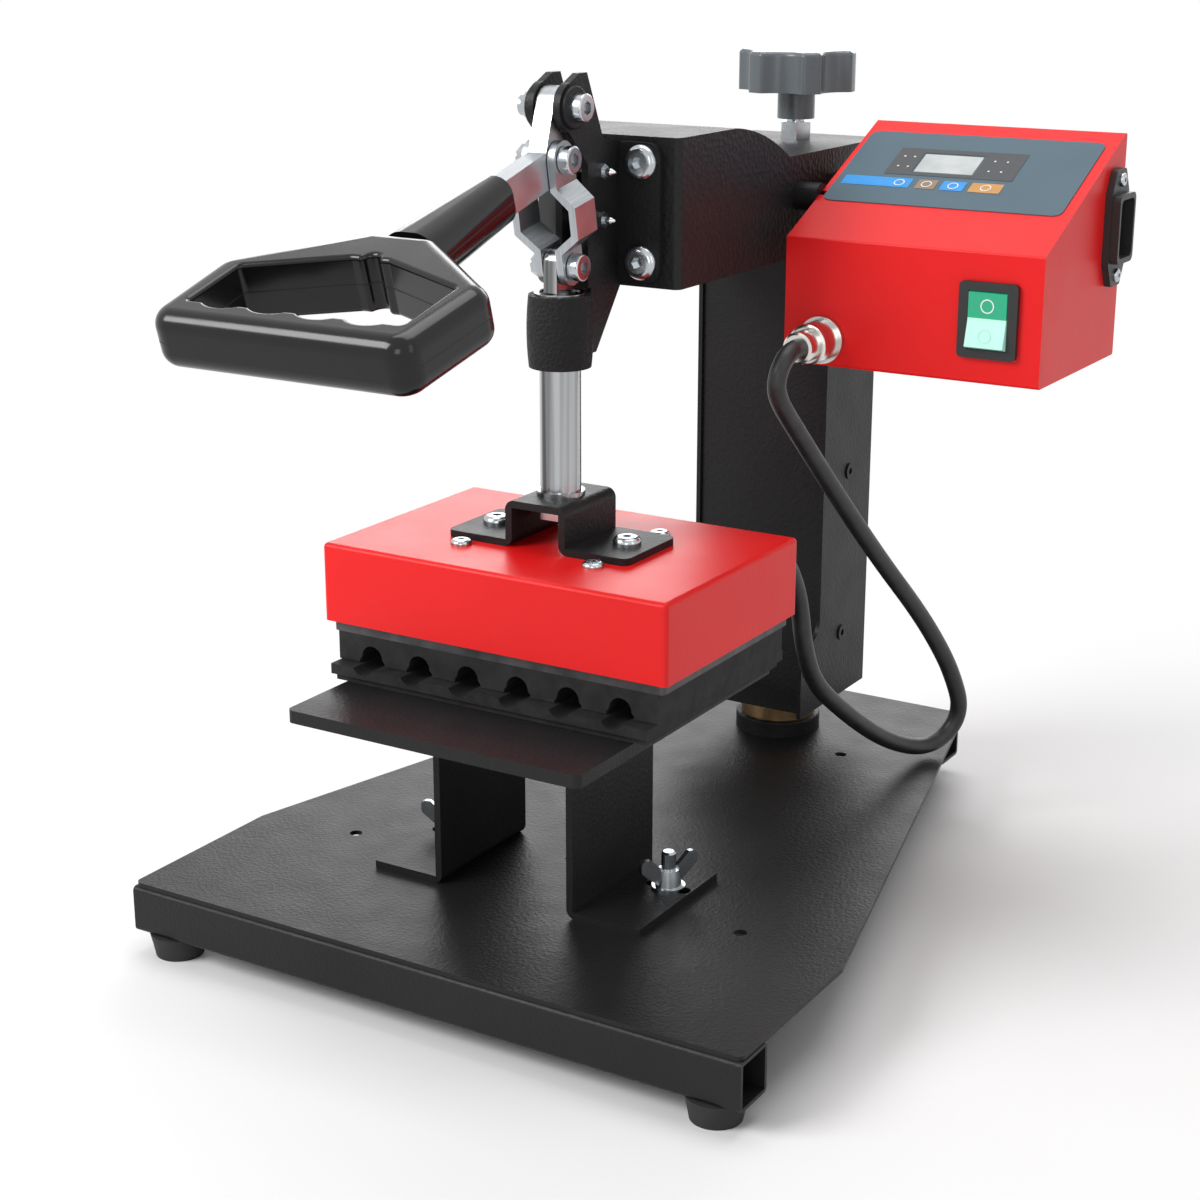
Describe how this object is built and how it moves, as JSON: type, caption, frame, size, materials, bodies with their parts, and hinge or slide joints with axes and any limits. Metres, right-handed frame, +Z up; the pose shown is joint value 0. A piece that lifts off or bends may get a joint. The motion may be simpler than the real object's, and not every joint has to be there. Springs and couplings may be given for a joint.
{
  "type": "pen heat press",
  "caption": "Bench heat press for pens: toggle lever lowers a heated head with grooved pads onto a shelf; timer box, swing-away column and feet.",
  "frame": {"origin": "on the floor plane, straight below the plunger's axis", "axes": "+Z up, +X to the user's right, -Y towards the user and the lever's grip"},
  "size_m": [0.3077, 0.4384, 0.3589],
  "materials": {
    "black_powder": "textured black powder coat",
    "red_powder": "fine textured red powder coat",
    "rubber_black": "matte black rubber",
    "silicone_black": "matte silicone sponge",
    "bronze": "oiled bronze",
    "zinc_steel": "bright zinc plate",
    "bright_steel": "ground and polished",
    "aluminium_plate": "dark coated aluminium",
    "board": "fibre insulation",
    "grip_black": "smooth satin gloss",
    "knob_grey": "glossy grey",
    "matte_black_plastic": "matte black",
    "panel_film": "printed blue grey film",
    "display_glass": "grey liquid crystal",
    "circuit_board": "green board",
    "rocker_green": "translucent green",
    "nickel": "nickel plate",
    "cord_rubber": "matte black rubber sheath"
  },
  "bodies": {
    "base": {"base_plate": "black_powder", "cross_tubes": "black_powder", "rubber_feet": "rubber_black", "pivot_collar": "black_powder", "pivot_bush": "bronze", "pivot_post": "zinc_steel", "pivot_nut": "zinc_steel", "shelf_plate": "black_powder", "stand_leg_left": "black_powder", "stand_leg_right": "black_powder", "stand_studs": "zinc_steel", "lower_pad_base": "silicone_black", "lower_pad": "silicone_black"},
    "column": {"column_channel": "black_powder", "column_front_plate": "black_powder", "column_plugs": "black_powder", "beam_shell": "black_powder", "beam_floor": "black_powder", "clamp_plate_left": "black_powder", "clamp_plate_right": "black_powder", "guide_bush": "rubber_black", "guide_liner": "bright_steel", "clamp_bolts": "zinc_steel", "limit_switch": "matte_black_plastic", "switch_screws": "zinc_steel", "lever_pivot_bolt": "zinc_steel", "knob_nut": "zinc_steel", "box_shell": "red_powder", "box_back_cover": "red_powder", "box_spacers": "black_powder", "panel_overlay": "panel_film", "display_module": "display_glass", "control_board": "circuit_board", "rocker_frame": "matte_black_plastic", "cord_socket": "nickel", "cord_plug": "nickel", "head_cord": "cord_rubber", "mains_inlet": "matte_black_plastic", "inlet_screws": "zinc_steel"},
    "knob": {"pressure_knob": "knob_grey", "knob_screw": "zinc_steel"},
    "rocker": {"rocker_button": "rocker_green"},
    "lever": {"lever_bar": "zinc_steel", "link_top_bolt": "zinc_steel", "grip_sleeve": "grip_black", "grip_top": "grip_black", "grip_bottom": "grip_black"},
    "links": {"toggle_links": "zinc_steel"},
    "head": {"plunger_rod": "bright_steel", "link_bottom_bolt": "zinc_steel", "plunger_bolt": "zinc_steel", "hat_bracket": "black_powder", "head_screws": "zinc_steel", "head_cover": "red_powder", "heating_plate": "aluminium_plate", "insulation_board": "board", "upper_pad": "silicone_black", "cord_gland": "matte_black_plastic"},
    "wing_left": {"wing_nut_left": "zinc_steel"},
    "wing_right": {"wing_nut_right": "zinc_steel"}
  },
  "joints": [
    {"name": "column_swing", "type": "hinge", "parent": "base", "child": "column", "pos_m": [0, 0.199, 0.057], "axis": [0, 0, 1], "range_deg": [-60, 60]},
    {"name": "lever_lift", "type": "hinge", "parent": "column", "child": "lever", "pos_m": [0, -0.002, 0.3465], "axis": [-1, 0, 0], "range_deg": [0, 55]},
    {"name": "link_swing", "type": "hinge", "parent": "lever", "child": "links", "pos_m": [0, -0.008, 0.3275], "axis": [-1, 0, 0], "range_deg": [-76, 1]},
    {"name": "plunger_slide", "type": "slide", "parent": "column", "child": "head", "axis": [0, 0, 1], "range_m": [-0.0005, 0.0175]},
    {"name": "knob_turn", "type": "hinge", "parent": "column", "child": "knob", "pos_m": [0, 0.202, 0.345], "axis": [0, 0, 1], "continuous": true},
    {"name": "rocker_tilt", "type": "hinge", "parent": "column", "child": "rocker", "pos_m": [0.1358, 0.1076, 0.2603], "axis": [1, 0, 0], "range_deg": [0, 16]},
    {"name": "wing_left_turn", "type": "hinge", "parent": "base", "child": "wing_left", "pos_m": [-0.0555, -0.002, 0.04], "axis": [0, 0, 1], "continuous": true},
    {"name": "wing_right_turn", "type": "hinge", "parent": "base", "child": "wing_right", "pos_m": [0.0525, -0.002, 0.04], "axis": [0, 0, 1], "continuous": true}
  ],
  "couplings": [
    {"joint": "link_swing", "follows": "lever_lift", "ratio": -1.3616},
    {"joint": "plunger_slide", "follows": "lever_lift", "m_per_rad": 0.01732}
  ]
}
